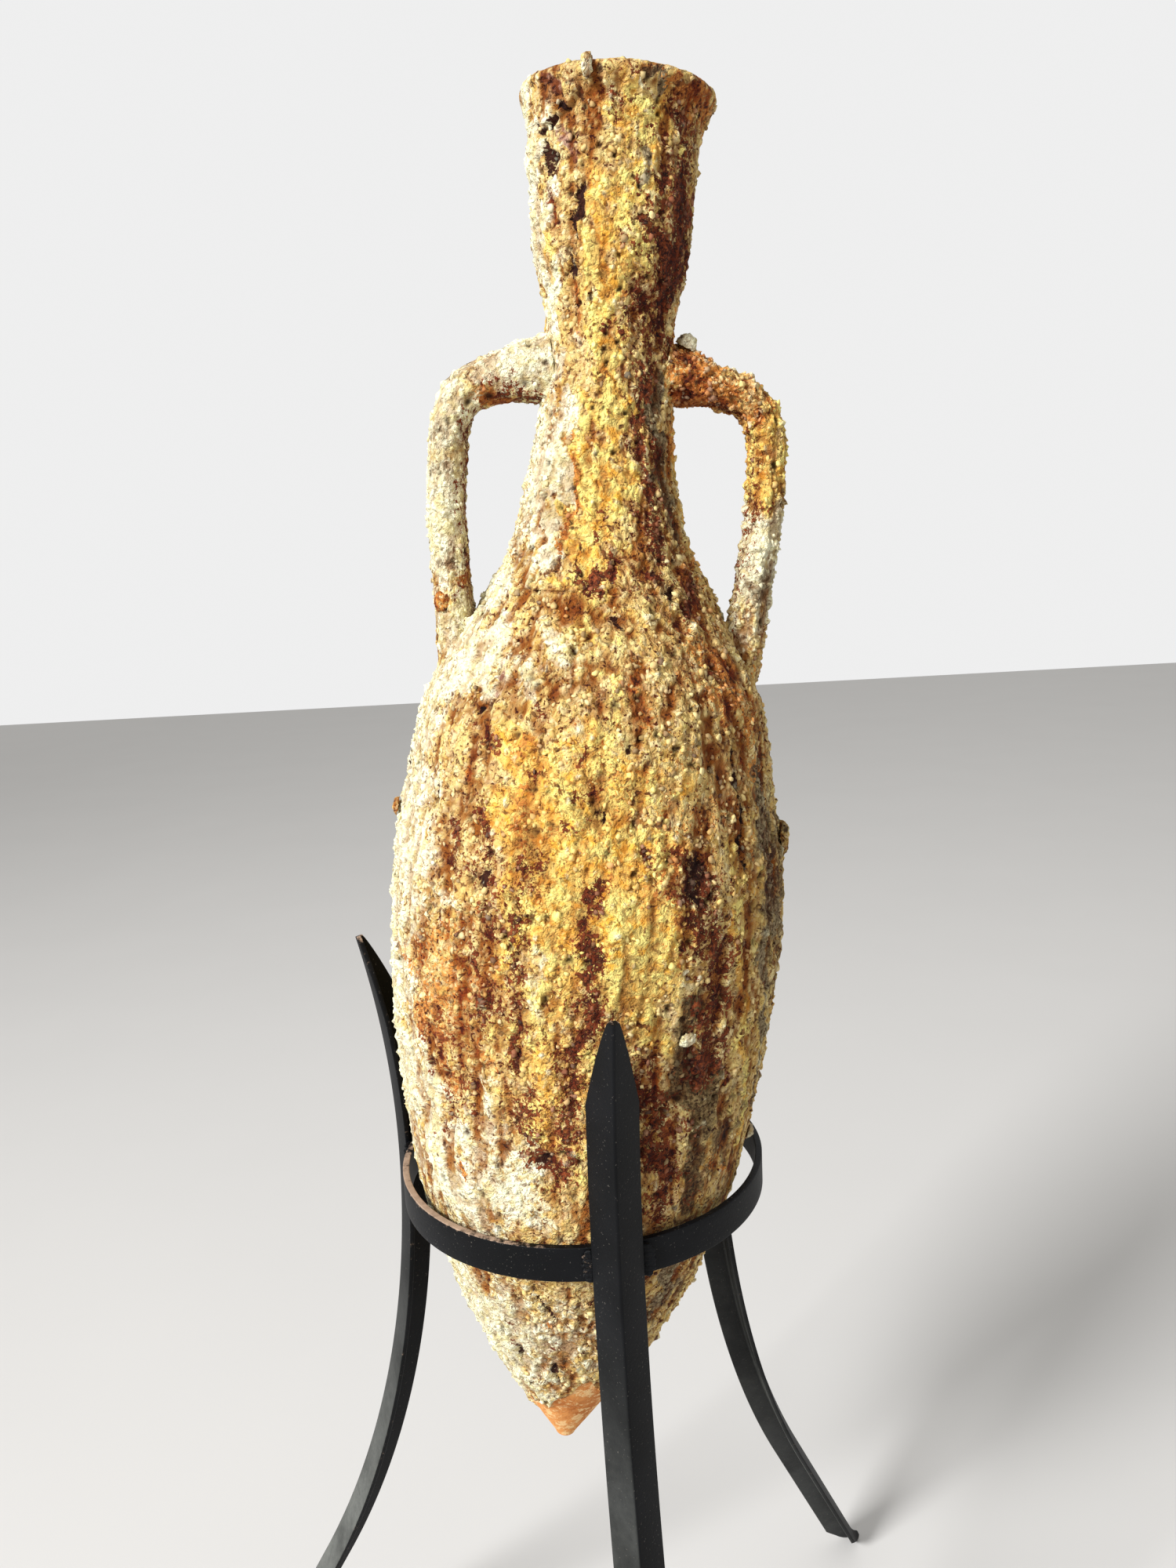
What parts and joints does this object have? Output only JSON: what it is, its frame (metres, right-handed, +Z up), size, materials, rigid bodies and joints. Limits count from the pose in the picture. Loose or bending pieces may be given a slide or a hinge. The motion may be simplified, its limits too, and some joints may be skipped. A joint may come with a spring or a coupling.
{
  "type": "amphora in a stand",
  "caption": "Crusted clay storage jar with side handles and a pointed toe, standing upright in the ring of a welded steel stand with spear-cut legs; the jar lifts out.",
  "frame": {"origin": "on the ground, at the middle of the bounding box seen from above", "axes": "+Z up, along the greatest length; -Y towards the picture's viewer; +X to the viewer's right"},
  "size_m": [0.6429, 0.6435, 1.3726],
  "materials": {
    "crusted_clay": "fired clay under a rough, grainy crust of sea growth, ochre to cream with brown streaks",
    "bare_clay": "bare orange fired clay with a thin, patchy crust",
    "crust_lump": "rough lump of hard growth cemented to the clay",
    "shell": "pale shell cemented to the clay, nearly smooth",
    "black_steel": "satin black paint with a fine orange-peel texture, worn at the ring's top edge"
  },
  "bodies": {
    "stand": {"ring": "black_steel", "leg_front": "black_steel", "leg_left": "black_steel", "leg_right": "black_steel", "weld_front_left": "black_steel", "weld_front_right": "black_steel", "weld_left_back": "black_steel", "weld_left_front": "black_steel", "weld_right_front": "black_steel", "weld_right_back": "black_steel"},
    "jar": {"body": "crusted_clay", "neck_and_mouth": "crusted_clay", "handle_left": "crusted_clay", "handle_right": "crusted_clay", "toe": "bare_clay", "shell_on_belly": "shell", "lump_on_rim": "crust_lump", "lump_left_side": "crust_lump", "lump_right_side": "crust_lump", "lump_above_ring": "shell", "shell_by_handle": "shell", "lump_on_handle": "crust_lump"}
  },
  "joints": [
    {"name": "jar_lift", "type": "slide", "parent": "stand", "child": "jar", "axis": [0, 0, 1], "range_m": [0, 0.45]}
  ]
}
